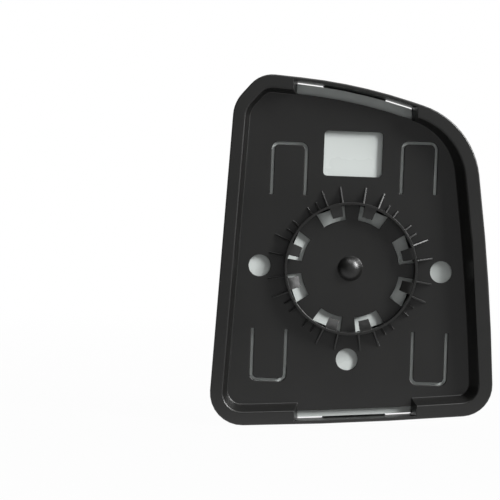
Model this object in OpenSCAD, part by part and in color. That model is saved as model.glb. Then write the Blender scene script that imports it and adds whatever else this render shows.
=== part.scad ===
// Van door mirror glass: a convex glass held in a moulded carrier with a round clip ring.
// The part is worked out lying on its glass, x to the right, y up the mirror and h to the back.
// It then stands up: glass to -Y, back to +Y, +Z up, origin on the clip ring's free edge.

/* [Outline] */
// Lower corner of the tall side, seen from the ring's axis: across, up, radius
tall_low = [79.0, -92.7, 18.5]; // [-150:0.1:150]
// Upper corner of the tall side
tall_high = [70.6, 92.7, 20]; // [-150:0.1:150]
// Highest corner: how far inwards and up from the one below it, and its radius
peak_step = [14.7, 17.3, 16.5]; // [4:0.1:60]
// Middle of the bowed top edge: across, up, and how far its bend runs to each side
top_bow = [0.3, 105.9, 32]; // [-150:0.1:150]
// Large upper corner of the short side
short_high = [-66.6, 86.2, 47]; // [-150:0.1:150]
// Middle of the bowed short side
short_bow = [-79.5, -5.3, 53.4]; // [-150:0.1:150]
// Lower corner of the short side
short_low = [-83.8, -79.8, 18]; // [-150:0.1:150]
// Middle of the bowed bottom edge
bottom_bow = [-5.2, -88.2, 58.4]; // [-150:0.1:150]

/* [Glass] */
// Radius of the convex face
glass_radius = 1800; // [900:10:4000]
// Thickness of the glass
glass_t = 2.2; // [1.5:0.1:3]
// Slit between the glass edge and the wall round it
glass_gap = 0.8; // [0.4:0.05:1.2]
// Bedding gap between the glass and the plate behind it
bed_gap = 0.15; // [0.05:0.05:0.3]

/* [Rim] */
// Height of the rim's back face behind the glass's front
rim_h = 17; // [14:0.1:22]
// Thickness of the outer wall
wall_t = 2; // [1.4:0.1:2.6]
// How far the outer wall's edge stands in front of the glass
wall_proud = 0.6; // [0.2:0.1:1.2]
// Thickness of the rim's back face and inner wall
rim_t = 2; // [1.4:0.1:2.6]
// Width of the back face along the tall side
rim_w_tall = 7.6; // [6:0.1:10]
// Width of the back face along the top
rim_w_top = 7.9; // [6:0.1:10]
// Width of the back face along the short side
rim_w_short = 8.4; // [6:0.1:10]
// Width of the back face along the bottom
rim_w_bottom = 8.0; // [6:0.1:10]
// Lean of the inner wall on the tall side, from its foot to its edge
lean_tall = 1.6; // [1:0.1:4]
// Lean of the inner wall along the top
lean_top = 1.1; // [1:0.1:4]
// Lean of the inner wall on the short side
lean_short = 3.4; // [1.5:0.1:4]
// Lean of the inner wall along the bottom
lean_bottom = 2.8; // [1.5:0.1:4]
// Rounding of the rim's inner edge
edge_r = 1.2; // [0.5:0.1:1.8]
// Rounding of the rim's outer edge
outer_r = 0.8; // [0.3:0.1:1.5]
// Rounding where the inner wall meets the plate
foot_r = 1.0; // [0.5:0.1:1.5]

/* [Plate] */
// Thickness of the plate
plate_t = 2.2; // [1.6:0.1:3]
// Window: across, up, width, height
window_at = [0.8, 66.4, 33.8, 26.0]; // [-60:0.1:80]
// Rounding of the window's corners
window_r = 2.3; // [1:0.1:5]
// Diameter of the round holes
hole_d = 12.6; // [8:0.1:16]
// Distance of the round holes from the ring's axis
hole_reach = 52.5; // [48:0.1:56]

/* [Spring tongues] */
// Width across the outside of a tongue's slot
tongue_w = 21.1; // [16:0.1:26]
// Length of a slot
tongue_l = 30.4; // [22:0.1:34]
// Width of the slot
slot_w = 1.7; // [1:0.1:2.5]
// Rounding of the slot's outer corners
slot_r = 4.3; // [3:0.1:6]
// Middle of the upper tongues: across and up, tall side
tongue_tall_high = [37.5, 56.9]; // [-80:0.1:80]
// Upper tongue on the short side
tongue_short_high = [-37.4, 59.6]; // [-80:0.1:80]
// Lower tongue on the tall side
tongue_tall_low = [45.4, -51.5]; // [-80:0.1:80]
// Lower tongue on the short side
tongue_short_low = [-47.2, -50.4]; // [-80:0.1:80]

/* [Edge openings and lugs] */
// Upper opening: its two ends across
top_open = [-32.0, 34.4]; // [-60:0.1:60]
// Lower opening: its two ends across
bottom_open = [-37.6, 27.2]; // [-60:0.1:60]
// Lean of the rim's end walls at the openings
end_lean = 2.4; // [1:0.1:4]
// Distance of the plate's edge from the outline in the upper opening
top_edge_in = 8.6; // [6:0.1:10]
// Distance of the plate's edge from the outline in the lower opening
bottom_edge_in = 6.6; // [5:0.1:10]
// Width of the lugs at their root
lug_w = 36.6; // [24:0.1:44]
// How much narrower a lug is at its tip, each side
lug_taper = 2.8; // [1:0.1:5]
// Reach of a lug over the glass
lug_reach = 4.6; // [3:0.1:7]
// Thickness of a lug
lug_t = 1.5; // [1:0.1:2]
// Step in from the outline to a lug's outer side
lug_inset = 0.3; // [0.1:0.1:0.6]
// Middle of the upper lug across
top_lug_x = 1.2; // [-10:0.1:10]
// Middle of the lower lug across
bottom_lug_x = -5.4; // [-15:0.1:5]

/* [Clip ring] */
// Outer radius of the ring
ring_r = 38.2; // [34:0.1:42]
// Thickness of the ring's wall
ring_t = 1.4; // [1:0.1:2]
// Height of the ring over the plate
ring_h = 8; // [5:0.1:10]
// Inner radius of the openings under the hooks
port_r = 28.3; // [25:0.1:31]
// First and last angle of an opening from its cross line
port_a = [7.0, 34.2]; // [5:0.1:42]
// Angle at which an opening widens out under the ring's wall
port_step_a = 23.6; // [20:0.1:28]
// How far it reaches under the ring's wall
port_step = 1.2; // [0.4:0.1:2]
// Angle by which that reach ends before the opening does
port_shoulder = 0.6; // [0.3:0.1:2]
// Radius of the hooks' tips
hook_r = 30.4; // [28.5:0.1:34]
// First and last angle of a hook
hook_a = [10.4, 21.6]; // [10:0.1:30]
// Height of a hook at the ring's wall
hook_h = 4.2; // [2:0.1:6]
// Lead-in at the hook's tip
hook_lead = 2.6; // [1:0.1:3.5]
// Flat top of a hook beside the wall
hook_flat = 1.0; // [0.4:0.1:2]
// Drop of that top below the ring's edge
hook_drop = 0.3; // [0.1:0.1:1]
// Angles of the long ribs from their cross line
rib_long_a = [9, 22.4]; // [5:0.1:28]
// Angles of the short ribs
rib_short_a = [30, 37.5]; // [28:0.1:42]
// Radius that the long ribs reach
rib_long_r = 47.8; // [42:0.1:52]
// Radius that the short ribs reach
rib_short_r = 43.2; // [40:0.1:48]
// Thickness of the ribs
rib_t = 1.0; // [0.6:0.1:1.6]
// Height of the ribs at their far end
rib_end = 0.4; // [0.2:0.1:2]
// Drop of the ribs' tops below the ring's edge
rib_drop = 0.8; // [0.2:0.1:2]
// Diameter of the dome in the middle
dome_d = 14.6; // [10:0.1:20]
// Height of the dome
dome_h = 4.5; // [2:0.1:6]

/* [Hidden] */

// Steps of each corner's arc, in the same order
arc_steps = [8, 6, 6, 5, 12, 4, 8, 3];
// Least radius of a corner moved inwards, and least half turn of a bowed side
least_r = 0.4;
least_turn = 0.2;
// Faces of what is turned, and steps of the flat arc of the glass
turn_fn = 144;
dish_fn = 2880;
hole_fn = 96;
// Steps of the rim's outer edge, inner edge and foot
outer_steps = 2;
edge_steps = 3;
foot_steps = 2;
// Steps of a rounded corner in the plate
box_steps = 5;

// The highest corner, set from the one below it
peak = [tall_high[0] - peak_step[0], tall_high[1] + peak_step[1], peak_step[2]];

plate_front = glass_t + bed_gap;
plate_back = plate_front + plate_t;
plate_mid = plate_front + plate_t / 2;
ring_top = plate_back + ring_h;
// Radius that clears the whole outline, and height that clears the rim, with what each has to spare
reach_spare = 30;
height_spare = 10;
reach = max([for (c = [tall_low, tall_high, peak, short_high, short_low]) norm(xy(c))]) + reach_spare;
clear_h = rim_h + height_spare;

// Widths and leans of the rim on each side, side by side with the corners that they start from
rim_widths = [
    rim_w_tall, rim_w_top, rim_w_top, rim_w_top,
    rim_w_short, rim_w_short, rim_w_bottom, rim_w_bottom
];
leans = [lean_tall, lean_top, lean_top, lean_top, lean_short, lean_short, lean_bottom, lean_bottom];
// How much thinner the outer wall is in a gap
gap_step = 0.15;
// How far the rim's foot dips into the plate, and what stands on the plate is let into it
foot_dip = 0.12;
let_in = 0.6;
// How far a hook is let into the ring's wall
hook_root = 0.45;
// How far the plate runs on under the rim's foot
plate_lap = 0.9;
// How much rounder the plate's own corners are there
plate_ease = 0.7;
// How far the openings under the hooks cut into the ring's wall, and how high
port_clear = 0.1;
port_rise = 1.4;
// How far the fill of an end wall runs on into the opening before that is cut
end_over = 0.5;

function unit(v) = v / norm(v);
function left_of(v) = [-v[1], v[0]];
function xy(v) = [v[0], v[1]];

// A bowed side's middle as a corner: the radius comes from the run of its bend
function bow(before, at, after) =
    let (half_turn = acos(unit(xy(at) - xy(before)) * unit(xy(after) - xy(at))) / 2)
    [at[0], at[1], at[2] / tan(max(half_turn, least_turn))];

corners = [
    tall_low, tall_high, peak, bow(peak, top_bow, short_high),
    short_high, bow(short_high, short_bow, short_low), short_low, bow(short_low, bottom_bow, tall_low)
];

// The outline moved inwards, by its own distance on each side. Side i starts at corner i.
// A corner that turns outwards is rounded on its other side.
function corner_arc(p, v, q, r, in_before, in_after, steps, ease) =
    let (
        n1 = left_of(unit(v - p)),
        n2 = left_of(unit(q - v)),
        turn = atan2(cross(n1, n2), n1 * n2),
        shift = abs(in_before - in_after) < 0.001
            ? in_before * (n1 + n2) / (1 + n1 * n2)
            : ((in_before - in_after * (n1 * n2)) * n1 + (in_after - in_before * (n1 * n2)) * n2)
                / (1 - pow(n1 * n2, 2)),
        way = turn < 0 ? -1 : 1,
        rr = way * (max(r - way * (in_before + in_after) / 2, least_r) + ease),
        centre = v + shift + rr * (n1 + n2) / (1 + n1 * n2),
        start = atan2(-n1[1], -n1[0])
    )
    [for (i = [0:steps]) centre + rr * [cos(start + turn * i / steps), sin(start + turn * i / steps)]];

function outline_by(insets, ease = 0) = [
    for (i = [0:len(corners) - 1])
        let (n = len(corners), before = (i + n - 1) % n)
            each corner_arc(xy(corners[before]), xy(corners[i]), xy(corners[(i + 1) % n]), corners[i][2],
                insets[before], insets[i], arc_steps[i] + (ease > 0 ? 1 : 0), ease)
];
function outline(inset) = outline_by([for (c = corners) inset]);

// Height of the glass's front face, and of the faces that run beside it at a depth behind it
function dish(p, depth) = glass_radius - sqrt(pow(glass_radius - depth, 2) - p * p);

// A closed solid between matching loops of points
module loft_ring(loops) {
    n = len(loops[0]);
    m = len(loops);
    polyhedron(
        points = [for (l = loops) each l],
        faces = [for (j = [0:m - 1], i = [0:n - 1])
            let (k = (j + 1) % m, l = (i + 1) % n)
                [j * n + i, k * n + i, k * n + l, j * n + l]],
        convexity = 8
    );
}

// One loop: insets beside the outline, either at one height or following the glass at a depth
function flat_loop(insets, h) = [for (p = outline_by(insets)) [p[0], p[1], h]];
function dish_loop(insets, depth) = [for (p = outline_by(insets)) [p[0], p[1], dish(p, depth)]];

function all_sides(d) = [for (c = corners) d];

// The raised rim: outer wall, back face and leaning inner wall, hollow and open to the glass.
// Its foot dips into the plate.
module rim() {
    foot = rim_widths + leans;
    outer = [
        for (i = [0:outer_steps])
            let (a = 90 * i / outer_steps)
                flat_loop(all_sides(outer_r * (1 - cos(a))), rim_h - outer_r * (1 - sin(a)))
    ];
    edge = [
        for (i = [0:edge_steps])
            let (a = 90 * i / edge_steps)
                flat_loop(rim_widths - all_sides(edge_r * (1 - sin(a))), rim_h - edge_r * (1 - cos(a)))
    ];
    inner = [
        for (i = [0:foot_steps])
            let (a = 90 * i / foot_steps)
                dish_loop(foot + all_sides(foot_r * (1 - cos(a))),
                    plate_back - foot_dip + foot_r * (1 - sin(a)))
    ];
    loft_ring(concat(
        [dish_loop(all_sides(wall_t), -wall_proud), dish_loop(all_sides(0), -wall_proud)],
        outer, edge, inner,
        [
            dish_loop(foot + all_sides(foot_r), plate_mid),
            dish_loop(foot - all_sides(rim_t), plate_mid),
            flat_loop(rim_widths - all_sides(rim_t), rim_h - rim_t),
            flat_loop(all_sides(wall_t), rim_h - rim_t)
        ]
    ));
}

// All that lies behind the face at a depth behind the glass's front, turned about a level axis
// through the middle of its sphere
module behind(depth, back = clear_h) {
    r = glass_radius - depth;
    span = asin(reach / r);
    translate([0, 0, glass_radius]) rotate([0, 90, 0]) rotate([0, 0, -span])
        rotate_extrude(angle = 2 * span, $fn = dish_fn)
            intersection() {
                circle(r = r, $fn = dish_fn);
                translate([glass_radius - back, -reach]) square([2 * back, 2 * reach]);
            }
}

// A sheet between two depths, over a plan
module dished(front, back) {
    difference() {
        intersection() {
            through() children();
            behind(front);
        }
        behind(back, 2 * clear_h);
    }
}

// Straight up from below the lugs to above the rim
module through() {
    translate([0, 0, -clear_h]) linear_extrude(3 * clear_h, convexity = 6) children();
}

function rounded_box(w, l, r) = [
    for (k = [0:3], i = [0:box_steps])
        let (a = 90 * k + 90 * i / box_steps, sx = (k == 0 || k == 3) ? 1 : -1, sy = k < 2 ? 1 : -1)
            [sx * (w / 2 - r) + r * cos(a), sy * (l / 2 - r) + r * sin(a)]
];

// What lies between two lines across, each leaning outwards above the plate
module gap_wedge(ends, up) {
    lean = end_lean * (clear_h - plate_back) / (rim_h - plate_back);
    translate([0, up > 0 ? reach : 0, 0]) rotate([90, 0, 0])
        linear_extrude(reach)
            polygon([[ends[0], -clear_h], [ends[1], -clear_h], [ends[1], plate_back],
                [ends[1] + lean, clear_h], [ends[0] - lean, clear_h], [ends[0], plate_back]]);
}

// Where a loop crosses a line across, on its upper (up = 1) or lower (up = -1) side
function height_at(loop, x, up) = [
    for (i = [0:len(loop) - 1])
        let (p = loop[i], q = loop[(i + 1) % len(loop)])
            if ((p[0] - x) * (q[0] - x) <= 0 && p[1] * up > 0)
                p[1] + (q[1] - p[1]) * (x - p[0]) / (q[0] - p[0])
][0];

// A wall that closes the rim's hollow, from one line across to another
module end_wall(x1, x2, side, up) {
    mid = rim_t / 2;
    base = [for (x = [x1, x2], loop = [outline(wall_t / 2), outline_by(rim_widths + leans - all_sides(mid))])
        let (p = [x, height_at(loop, x, up)]) [p[0], p[1], dish(p, plate_mid)]];
    lean = side * end_lean * (rim_h - mid - plate_back) / (rim_h - plate_back);
    top = [
        for (x = [x1, x2], loop = [outline(wall_t / 2), outline_by(rim_widths - all_sides(mid))])
            [x + lean, height_at(loop, x + lean, up), rim_h - mid]
    ];
    around = [0, 1, 3, 2];
    turned = up < 0 ? around : [for (i = [3:-1:0]) around[i]];
    polyhedron(
        points = concat(base, top),
        faces = concat(
            [[for (i = [3:-1:0]) turned[i]], [for (i = turned) 4 + i]],
            [for (i = [0:3]) let (a = turned[i], b = turned[(i + 1) % 4]) [a, b, 4 + b, 4 + a]]
        )
    );
}

module end_walls(ends, up) {
    end_wall(ends[0] - rim_t, ends[0] + end_over, -1, up);
    end_wall(ends[1] - end_over, ends[1] + rim_t, 1, up);
}

// The stretch of rim that is left out between the two ends; the outer wall runs on
module rim_gap(ends, up) {
    intersection() {
        gap_wedge(ends, up);
        difference() {
            through() polygon(outline(wall_t - gap_step));
            through() polygon(outline(max(rim_widths + leans) + 2 * foot_r));
        }
    }
}

// Plan of the plate: let into the rim's foot all round, with its own edge in the two gaps
module plate_plan() {
    difference() {
        polygon(outline_by(rim_widths + leans - all_sides(plate_lap), plate_ease));
        top_notch();
    }
    intersection() {
        polygon(outline(bottom_edge_in));
        translate([bottom_open[0] - rim_t / 2, -reach])
            square([bottom_open[1] - bottom_open[0] + rim_t, reach - hole_reach]);
    }
}

// What the upper opening takes off the plate's edge
module top_notch() {
    difference() {
        translate([top_open[0], hole_reach]) square([top_open[1] - top_open[0], reach - hole_reach]);
        polygon(outline(top_edge_in));
    }
}

// Plan of a lug: widest at the wall, its sides drawn in to its tip
module lug_plan(x, up) {
    root = outline(wall_t);
    tip = outline(wall_t + lug_reach);
    half = lug_w / 2;
    function at(loop, across) = [across, height_at(loop, across, up)];
    intersection() {
        difference() {
            polygon(outline(lug_inset));
            polygon(tip);
        }
        polygon([
            [x - half + lug_taper, 0],
            at(tip, x - half + lug_taper), at(root, x - half), [x - half, up * reach],
            [x + half, up * reach], at(root, x + half), at(tip, x + half - lug_taper),
            [x + half - lug_taper, 0]
        ]);
    }
}

// A flat lug over the glass, tilted as the glass is at the wall
module lug(x, up) {
    edge = height_at(outline(wall_t), x, up);
    translate([0, edge, dish([x, edge], -bed_gap)]) rotate([asin(edge / glass_radius), 0, 0])
        translate([0, -edge, -lug_t]) linear_extrude(lug_t) lug_plan(x, up);
}

module slot(at, up) {
    translate(at) difference() {
        polygon(rounded_box(tongue_w, tongue_l * 2, slot_r));
        polygon(rounded_box(tongue_w - 2 * slot_w, (tongue_l - slot_w) * 2, slot_r - slot_w));
        translate([-tongue_w, up > 0 ? -2 * tongue_l : 0]) square([2 * tongue_w, 2 * tongue_l]);
    }
}

module tongue_slots() {
    for (at = [tongue_tall_high, tongue_short_high]) slot(at - [0, tongue_l / 2], 1);
    for (at = [tongue_tall_low, tongue_short_low]) slot(at + [0, tongue_l / 2], -1);
}

// A sector between two radii and two angles
module sector(r1, r2, a1, a2) {
    intersection() {
        difference() {
            circle(r = r2, $fn = turn_fn);
            circle(r = r1, $fn = turn_fn);
        }
        polygon([[0, 0], 2 * r2 * [cos(a1), sin(a1)], 2 * r2 * [cos((a1 + a2) / 2), sin((a1 + a2) / 2)],
            2 * r2 * [cos(a2), sin(a2)]]);
    }
}

// What stands at each side of the four cross lines
module each_eighth() {
    for (cross_line = [0:90:270]) rotate([0, 0, cross_line]) {
        children();
        mirror([0, 1, 0]) children();
    }
}

module ports() {
    inner = ring_r - ring_t;
    each_eighth() {
        sector(port_r, inner + port_clear, port_a[0], port_a[1]);
        sector(inner - port_step, inner + port_step, port_step_a, port_a[1] - port_shoulder);
    }
}

module clip_ring() {
    base = plate_back - let_in;
    difference() {
        translate([0, 0, base]) cylinder(r = ring_r, h = ring_top - base, $fn = turn_fn);
        translate([0, 0, base - let_in]) cylinder(r = ring_r - ring_t, h = ring_top, $fn = turn_fn);
    }
}

module hook() {
    inner = ring_r - ring_t;
    root = inner + hook_root;
    top = ring_top - hook_drop;
    rotate([0, 0, hook_a[0]])
        rotate_extrude(angle = hook_a[1] - hook_a[0], $fn = turn_fn)
            polygon([[root, top], [inner - hook_flat, top], [hook_r, top - hook_lead],
                [hook_r, ring_top - hook_h], [root, ring_top - hook_h]]);
}

module rib(a, r) {
    rotate([0, 0, a]) rotate([90, 0, 0]) translate([0, 0, -rib_t / 2])
        linear_extrude(rib_t)
            polygon([[ring_r - ring_t / 2, plate_back - let_in], [r, plate_back - let_in],
                [r, dish([r, 0], plate_back) + rib_end], [ring_r - ring_t / 2, ring_top - rib_drop]]);
}

module dome() {
    ball = (pow(dome_d / 2, 2) + pow(dome_h, 2)) / (2 * dome_h);
    rotate_extrude($fn = turn_fn)
        intersection() {
            translate([0, plate_back + dome_h - ball]) circle(r = ball, $fn = turn_fn);
            translate([0, plate_back - let_in]) square([ball, dome_h + 2 * let_in]);
        }
}

module plate() {
    difference() {
        union() {
            dished(plate_front, plate_back) plate_plan();
            union() {
                clip_ring();
                dome();
                each_eighth() {
                    hook();
                    for (a = rib_long_a) rib(a, rib_long_r);
                    for (a = rib_short_a) rib(a, rib_short_r);
                }
            }
        }
        through() {
            translate(xy(window_at)) polygon(rounded_box(window_at[2], window_at[3], window_r));
            tongue_slots();
            for (a = [0, 180, 270]) rotate([0, 0, a]) translate([hole_reach, 0, 0])
                circle(d = hole_d, $fn = hole_fn);
        }
        linear_extrude(plate_back + port_rise) ports();
    }
}

module carrier_lying() {
    difference() {
        union() {
            rim();
            end_walls(top_open, 1);
            end_walls(bottom_open, -1);
        }
        rim_gap(top_open, 1);
        rim_gap(bottom_open, -1);
    }
    plate();
    lug(top_lug_x, 1);
    lug(bottom_lug_x, -1);
}

module glass_lying() {
    dished(0, glass_t) polygon(outline(wall_t + glass_gap));
}

// Stands a lying piece up and brings the ring's free edge to the origin
module stand() {
    translate([0, -ring_top, 0]) mirror([0, 1, 0]) rotate([90, 0, 0]) children();
}

module carrier() {
    color([0.16, 0.16, 0.155]) stand() carrier_lying();
}

module mirror_glass() {
    color([0.72, 0.75, 0.74]) stand() glass_lying();
}

carrier();
mirror_glass();
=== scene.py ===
import math

import bpy
from mathutils import Matrix, Vector


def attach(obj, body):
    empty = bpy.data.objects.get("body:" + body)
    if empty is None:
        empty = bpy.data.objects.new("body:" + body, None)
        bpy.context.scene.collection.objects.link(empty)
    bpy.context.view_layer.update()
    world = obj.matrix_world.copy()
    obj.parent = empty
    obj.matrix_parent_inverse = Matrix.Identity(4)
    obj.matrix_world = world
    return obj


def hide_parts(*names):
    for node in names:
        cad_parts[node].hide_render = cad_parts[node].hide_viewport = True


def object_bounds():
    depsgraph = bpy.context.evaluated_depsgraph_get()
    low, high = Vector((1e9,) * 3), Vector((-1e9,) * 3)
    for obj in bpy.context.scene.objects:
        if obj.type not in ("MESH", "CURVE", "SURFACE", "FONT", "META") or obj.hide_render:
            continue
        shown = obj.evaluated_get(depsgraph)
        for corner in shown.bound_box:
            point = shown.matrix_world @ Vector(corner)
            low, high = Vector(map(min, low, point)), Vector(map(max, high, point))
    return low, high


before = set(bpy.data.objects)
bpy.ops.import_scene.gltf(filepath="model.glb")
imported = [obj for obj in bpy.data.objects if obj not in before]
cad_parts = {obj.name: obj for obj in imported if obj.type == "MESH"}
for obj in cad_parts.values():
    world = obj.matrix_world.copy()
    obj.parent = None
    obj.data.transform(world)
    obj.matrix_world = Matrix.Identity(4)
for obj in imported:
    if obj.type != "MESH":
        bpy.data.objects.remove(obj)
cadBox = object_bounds()
print("frame loaded:", ", ".join(sorted(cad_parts)))


# small helpers

def deselectAll():
    for thing in list(bpy.context.selected_objects):
        thing.select_set(False)


def makeActive(thing):
    deselectAll()
    thing.select_set(True)
    bpy.context.view_layer.objects.active = thing


def openMesh(thing, chosen):
    makeActive(thing)
    bpy.ops.object.mode_set(mode="EDIT")
    bpy.ops.mesh.select_all(action=chosen)


def closeMesh():
    bpy.ops.object.mode_set(mode="OBJECT")


def applyModifiers(thing):
    makeActive(thing)
    for modifier in list(thing.modifiers):
        bpy.ops.object.modifier_apply(modifier=modifier.name)


def copyOfNode(nodeName, pieceName, mergeGap):
    # the CAD mesh is loose triangles, so the copy is merged before it is finished
    makeActive(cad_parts[nodeName])
    bpy.ops.object.duplicate()
    piece = bpy.context.active_object
    piece.parent = None
    piece.name = pieceName
    piece.data.name = pieceName
    for key in list(piece.keys()):
        if key.startswith("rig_"):
            del piece[key]
    piece.data.materials.clear()
    openMesh(piece, "SELECT")
    bpy.ops.mesh.remove_doubles(threshold=mergeGap)
    closeMesh()
    return piece


# shader maths as plain expressions

class Wire:
    def __init__(self, tree, socket):
        self.tree = tree
        self.socket = socket

    def node(self, kind, settings=None, inputs=None, output=0):
        made = self.tree.nodes.new(kind)
        for name, value in (settings or {}).items():
            setattr(made, name, value)
        for name, value in (inputs or {}).items():
            target = made.inputs[name]
            if isinstance(value, Wire):
                self.tree.links.new(value.socket, target)
            else:
                target.default_value = value
        return Wire(self.tree, made.outputs[output])

    def math(self, operation, first, second=0.0, clamp=False):
        settings = {"operation": operation, "use_clamp": clamp}
        return self.node("ShaderNodeMath", settings, {0: first, 1: second})

    def __add__(self, other):
        return self.math("ADD", self, other)

    def __radd__(self, other):
        return self.math("ADD", other, self)

    def __sub__(self, other):
        return self.math("SUBTRACT", self, other)

    def __rsub__(self, other):
        return self.math("SUBTRACT", other, self)

    def __mul__(self, other):
        return self.math("MULTIPLY", self, other)

    def __rmul__(self, other):
        return self.math("MULTIPLY", other, self)

    def clamped(self):
        return self.math("ADD", self, 0.0, clamp=True)

    def centred(self):
        return self - 0.5  # a noise runs from 0 to 1

    def rise(self, start, end):
        return ((self - start) * (1 / (end - start))).clamped()

    def split(self):
        outputs = self.node("ShaderNodeSeparateXYZ", {}, {0: self}).socket.node.outputs
        return [Wire(self.tree, socket) for socket in outputs]


def between(low, high, share):
    return low + share * (high - low)


def noise(place, scale, detail):
    return place.node("ShaderNodeTexNoise", {}, {"Vector": place, "Scale": scale, "Detail": detail})


def blend(factor, plain, marked):
    # the colour sockets of a Mix node are inputs 6 and 7 and output 2
    ends = [end if isinstance(end, Wire) else (*end, 1) for end in (plain, marked)]
    sockets = {0: factor, 6: ends[0], 7: ends[1]}
    return factor.node("ShaderNodeMix", {"data_type": "RGBA"}, sockets, output=2)


def newMaterial(name):
    material = bpy.data.materials.new(name)
    material.use_nodes = True
    tree = material.node_tree
    tree.nodes.clear()
    shader = tree.nodes.new("ShaderNodeBsdfPrincipled")
    end = tree.nodes.new("ShaderNodeOutputMaterial")
    tree.links.new(shader.outputs[0], end.inputs[0])
    place = tree.nodes.new("ShaderNodeTexCoord")
    return material, tree, shader, Wire(tree, place.outputs["Object"])


def feed(tree, wire, shader, socketName):
    tree.links.new(wire.socket, shader.inputs[socketName])


# camera: behind the mirror, nearly square on, where the photograph was taken from

cameraView = {
    "spot": (0.050755, 0.804881, 0.008041),
    "yaw": -0.537,
    "tilt": -0.041,
    "roll": -2.178,
    "focalPixels": 1403,
    "framePixels": 500,
    "sensorWidth": 36,
    "nearest": 0.01,
    "farthest": 50,
}


def makeCamera(view):
    camera = bpy.data.cameras.new("photoCamera")
    camera.sensor_width = view["sensorWidth"]
    camera.lens = view["sensorWidth"] * view["focalPixels"] / view["framePixels"]
    camera.clip_start = view["nearest"]
    camera.clip_end = view["farthest"]
    holder = bpy.data.objects.new("photoCamera", camera)
    bpy.context.scene.collection.objects.link(holder)
    towardsGlass = Matrix.Rotation(math.pi, 3, "Z") @ Matrix.Rotation(math.pi / 2, 3, "X")
    turn = (
        towardsGlass
        @ Matrix.Rotation(-math.radians(view["yaw"]), 3, "Y")
        @ Matrix.Rotation(-math.radians(view["tilt"]), 3, "X")
        @ Matrix.Rotation(-math.radians(view["roll"]), 3, "Z")
    )
    holder.matrix_world = Matrix.Translation(view["spot"]) @ turn.to_4x4()
    bpy.context.scene.camera = holder


makeCamera(cameraView)
print("camera placed")


# carrier: one black moulding

carrierFinish = {
    "colour": (0.0046, 0.0046, 0.0043),
    "paleColour": (0.0062, 0.0062, 0.0058),
    "roughness": 0.35,
    "specular": 0.56,
    "grainScale": 5200,
    "grainDetail": 2.0,
    "grainDepth": 0.00002,
    "grainStrength": 0.35,
    "grainRoughness": 0.06,
    "flowScale": 38,
    "flowDetail": 3.0,
    "flowGain": 1.6,
    "flowDrop": 0.3,
    "flowRoughness": 0.08,
    # the mesh is cleaned before its edges are rounded, lengths in metres and angles in degrees
    "mergeGap": 0.000004,
    "leastEdge": 0.00004,
    "flatAngle": 0.6,
    "edgeAngle": 28,
    "edgeRound": 0.00046,
    "roundSteps": 2,
    "smoothAngle": 35,
    "faceWeight": 100,
    # shares of edgeRound: full at the tongues' slots, less elsewhere, least at the ring
    "plainShare": 0.62,
    "ringShare": 0.42,
    "ringReach": 0.0495,
    "tongues": ((0.0375, 0.0569), (-0.0374, 0.0596), (0.0454, -0.0515), (-0.0472, -0.0504)),
    "tongueHalf": (0.0112, 0.0160),
}


def carrierMaterial(finish):
    material, tree, shader, place = newMaterial("satinBlackMoulding")
    grain = noise(place, finish["grainScale"], finish["grainDetail"])
    flow = noise(place, finish["flowScale"], finish["flowDetail"])
    pale = (flow * finish["flowGain"] - finish["flowDrop"]).clamped()
    colour = blend(pale, finish["colour"], finish["paleColour"])
    roughness = finish["roughness"] + flow.centred() * finish["flowRoughness"]
    roughness = roughness + grain.centred() * finish["grainRoughness"]
    relief = {"Strength": finish["grainStrength"], "Distance": finish["grainDepth"], "Height": grain}
    feed(tree, colour, shader, "Base Color")
    feed(tree, roughness, shader, "Roughness")
    feed(tree, place.node("ShaderNodeBump", {}, relief), shader, "Normal")
    shader.inputs["Specular IOR Level"].default_value = finish["specular"]
    return material


def weighEdges(piece, finish):
    # how much of the rounding each sharp edge gets
    openMesh(piece, "DESELECT")
    bpy.ops.mesh.select_mode(type="EDGE")
    bpy.ops.mesh.edges_select_sharp(sharpness=math.radians(finish["edgeAngle"]))
    closeMesh()
    weights = piece.data.attributes.new("bevel_weight_edge", "FLOAT", "EDGE")
    halfWide, halfHigh = finish["tongueHalf"]
    for edge in piece.data.edges:
        if not edge.select:
            continue
        ends = [piece.data.vertices[i].co for i in edge.vertices]
        middle = (ends[0] + ends[1]) / 2
        share = finish["plainShare"]
        if math.hypot(middle.x, middle.z) < finish["ringReach"]:
            share = finish["ringShare"]
        for across, up in finish["tongues"]:
            if abs(middle.x - across) < halfWide and abs(middle.z - up) < halfHigh:
                share = 1
        weights.data[edge.index].value = share


def makeCarrier(finish):
    piece = copyOfNode("carrier", "carrierMoulding", finish["mergeGap"])
    openMesh(piece, "SELECT")
    bpy.ops.mesh.dissolve_degenerate(threshold=finish["leastEdge"])
    bpy.ops.mesh.dissolve_limited(angle_limit=math.radians(finish["flatAngle"]))
    closeMesh()
    weighEdges(piece, finish)
    edgeRound = piece.modifiers.new("edgeRound", "BEVEL")
    edgeRound.width = finish["edgeRound"]
    edgeRound.segments = finish["roundSteps"]
    edgeRound.limit_method = "WEIGHT"
    edgeRound.use_clamp_overlap = False  # one tiny edge would shrink every rounding
    applyModifiers(piece)
    bpy.ops.object.shade_smooth_by_angle(angle=math.radians(finish["smoothAngle"]))
    evenShade = piece.modifiers.new("evenShade", "WEIGHTED_NORMAL")
    evenShade.weight = finish["faceWeight"]
    evenShade.keep_sharp = True
    applyModifiers(piece)
    piece.data.materials.append(carrierMaterial(finish))
    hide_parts("carrier")
    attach(piece, "root")
    return piece


carrierPiece = makeCarrier(carrierFinish)
print("carrier finished:", len(carrierPiece.data.polygons), "faces")


# glass: polished mirror in front, pale protective paint behind, ground edge

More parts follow.
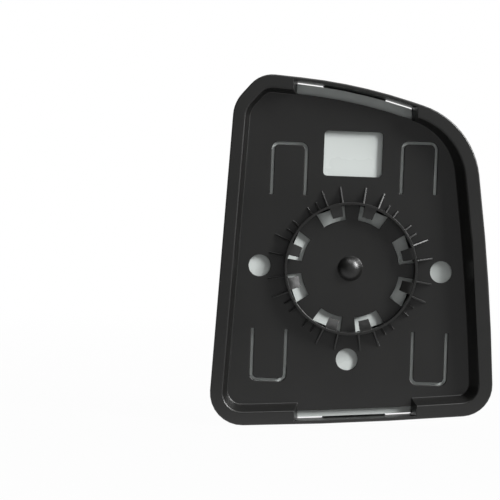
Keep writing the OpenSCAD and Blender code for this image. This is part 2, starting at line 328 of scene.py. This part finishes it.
glassFinish = {
    "sphereRadius": 1.8,
    "frontSpot": -0.01255,
    "edgeDepth": 0.0006,
    "backDepth": 0.0017,
    "mirrorColour": (0.62, 0.62, 0.615),
    "paintColour": (0.555, 0.589, 0.573),
    "edgeColour": (0.05, 0.075, 0.068),
    "mirrorRoughness": 0.015,
    "paintRoughness": 0.28,
    "paintSpread": 0.12,
    "paintScale": 26,
    "paintDetail": 4.0,
}


def glassMaterial(finish):
    # the depth behind the domed front tells the mirror, the ground edge and the paint apart
    material, tree, shader, place = newMaterial("mirrorGlass")
    across, back, up = place.split()
    dome = (across * across + up * up) * (0.5 / finish["sphereRadius"])
    depth = back - finish["frontSpot"] - dome
    mirror = depth.math("LESS_THAN", depth, finish["edgeDepth"])
    paint = depth.math("GREATER_THAN", depth, finish["backDepth"])
    coated = blend(paint, finish["edgeColour"], finish["paintColour"])
    colour = blend(mirror, coated, finish["mirrorColour"])
    cloud = noise(place, finish["paintScale"], finish["paintDetail"])
    roughness = finish["paintRoughness"] + cloud.centred() * finish["paintSpread"]
    roughness = roughness * (1 - mirror) + mirror * finish["mirrorRoughness"]
    feed(tree, colour, shader, "Base Color")
    feed(tree, roughness, shader, "Roughness")
    feed(tree, mirror, shader, "Metallic")
    return material


def dressGlass(finish):
    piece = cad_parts["mirror_glass"]
    makeActive(piece)
    if not piece.material_slots:
        bpy.ops.object.material_slot_add()
    piece.material_slots[0].link = "OBJECT"
    piece.material_slots[0].material = glassMaterial(finish)


dressGlass(glassFinish)
print("glass finished")


# pale floor and soft studio light: the camera sees both white, and
# reflections see them dimmer, so that the black stays black and the mirror is graded

floorLook = {
    "size": 6.0,
    "gap": 0.0005,
    "shade": (0.16, 0.16, 0.16),
    "roughness": 0.9,
    "shownGlow": 0.97,
    "nearGlow": 0.98,
    "farGlow": 0.66,
    "backGlow": 0.04,
    "frontFade": 5,
    "poolReach": 1.3,
}

worldLook = {
    "backShade": 0.03,
    "sideShade": 0.34,
    "sideEdge": (0.35, 0.95),
    "sideAim": 0.7,
    "cardShade": 0.49,
    "cardEdge": (0.86, 0.95),
    "frontLow": 0.95,
    "frontHigh": 0.42,
    "frontSlope": 0.55,
    "frontFade": 2.5,
}

softLights = {
    "key": {"spot": (-1.09, 0.69, 0.86), "width": 0.42, "height": 0.9, "power": 45.0},
    "top": {"spot": (-0.1, 0.45, 1.3), "width": 0.9, "height": 0.9, "power": 8.0},
    "front": {"spot": (0.5, -1.2, 0.7), "width": 0.7, "height": 0.7, "power": 5.0},
}


def floorMaterial(look):
    material, tree, shader, place = newMaterial("paleFloor")
    end = shader.outputs[0].links[0].to_node
    shader.inputs["Base Color"].default_value = (*look["shade"], 1)
    shader.inputs["Roughness"].default_value = look["roughness"]
    away = place.node("ShaderNodeVectorMath", {"operation": "LENGTH"}, {0: place}, output=1)
    pool = (away * (1 / look["poolReach"])).clamped()
    shown = between(look["shownGlow"], 1, pool)
    back = place.split()[1]
    ahead = (1 - back * look["frontFade"]).clamped()
    mirrored = between(look["backGlow"], between(look["nearGlow"], look["farGlow"], pool), ahead)
    seen = place.node("ShaderNodeLightPath")
    bounced = place.node("ShaderNodeLightPath", output=2)
    share = (1 - bounced) * (seen * shown + (1 - seen) * mirrored)
    glow = place.node("ShaderNodeEmission", {}, {"Strength": 1.0})
    shaders = {0: share, 1: Wire(tree, shader.outputs[0]), 2: glow}
    mixed = place.node("ShaderNodeMixShader", {}, shaders)
    tree.links.new(mixed.socket, end.inputs[0])
    return material


def makeFloor(look):
    lowest = cadBox[0][2]
    deselectAll()
    bpy.ops.mesh.primitive_plane_add(size=look["size"], location=(0, 0, lowest - look["gap"]))
    floor = bpy.context.active_object
    floor.name = "studioFloor"
    floor.data.materials.append(floorMaterial(look))


def makeWorld(look):
    # dim behind the mirror with a card opposite the plate, graded in front of the glass
    world = bpy.data.worlds.new("studioWorld")
    world.use_nodes = True
    tree = world.node_tree
    tree.nodes.clear()
    heading = Wire(tree, tree.nodes.new("ShaderNodeTexCoord").outputs["Generated"])
    across, back, up = heading.split()
    slope = (0.5 - up * look["frontSlope"]).clamped()
    front = between(look["frontHigh"], look["frontLow"], slope)
    card = back.rise(*look["cardEdge"])
    side = (up * look["sideAim"] - across * look["sideAim"]).rise(*look["sideEdge"])
    behind = between(look["backShade"], look["cardShade"], card) + side * look["sideShade"]
    ahead = (0.5 - back * look["frontFade"]).clamped()
    light = ahead * front + (1 - ahead) * behind
    seen = heading.node("ShaderNodeLightPath")
    strength = seen + (1 - seen) * light
    shade = heading.node("ShaderNodeBackground", {}, {"Color": (1, 1, 1, 1), "Strength": strength})
    end = tree.nodes.new("ShaderNodeOutputWorld")
    tree.links.new(shade.socket, end.inputs[0])
    bpy.context.scene.world = world


def makeLights(lights):
    for name, light in lights.items():
        lamp = bpy.data.lights.new(name + "Light", "AREA")
        lamp.shape = "RECTANGLE"
        lamp.size = light["width"]
        lamp.size_y = light["height"]
        lamp.energy = light["power"]
        holder = bpy.data.objects.new(name + "Light", lamp)
        bpy.context.scene.collection.objects.link(holder)
        holder.location = light["spot"]
        holder.rotation_euler = (-Vector(light["spot"])).to_track_quat("-Z", "Y").to_euler()


makeFloor(floorLook)
makeWorld(worldLook)
makeLights(softLights)
bpy.context.scene.view_settings.view_transform = "Standard"
print("studio lit")
